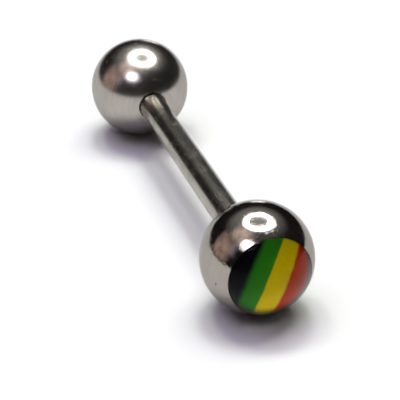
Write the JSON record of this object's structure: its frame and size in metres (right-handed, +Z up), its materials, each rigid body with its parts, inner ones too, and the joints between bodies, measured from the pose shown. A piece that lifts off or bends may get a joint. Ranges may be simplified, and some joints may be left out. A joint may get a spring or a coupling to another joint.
{
  "type": "tongue barbell",
  "caption": "Straight steel barbell with screw-on end balls, one with a striped picture under a clear resin dome.",
  "frame": {"origin": "on the surface that both balls rest on, under the middle of the bar", "axes": "+Z up, the bar lies along Y, the picture faces -Y, +X to the right as the picture is seen"},
  "size_m": [0.006, 0.0278, 0.006],
  "materials": {
    "bar_steel": "polished surgical steel, drawn along its length",
    "ball_steel": "mirror-polished surgical steel with fine scratches",
    "print": "printed stripes in black, green, yellow and red-orange",
    "resin": "clear glossy resin"
  },
  "bodies": {
    "bar": {"bar": "bar_steel"},
    "plain_ball": {"plain_ball": "ball_steel"},
    "picture_ball": {"picture_ball": "ball_steel", "picture_disc": "print", "resin_dome": "resin"}
  },
  "joints": [
    {"name": "picture_ball_unscrews", "type": "slide", "parent": "bar", "child": "picture_ball", "axis": [0, -1, 0], "range_m": [0, 0.006]},
    {"name": "plain_ball_unscrews", "type": "slide", "parent": "bar", "child": "plain_ball", "axis": [0, 1, 0], "range_m": [0, 0.006]}
  ]
}
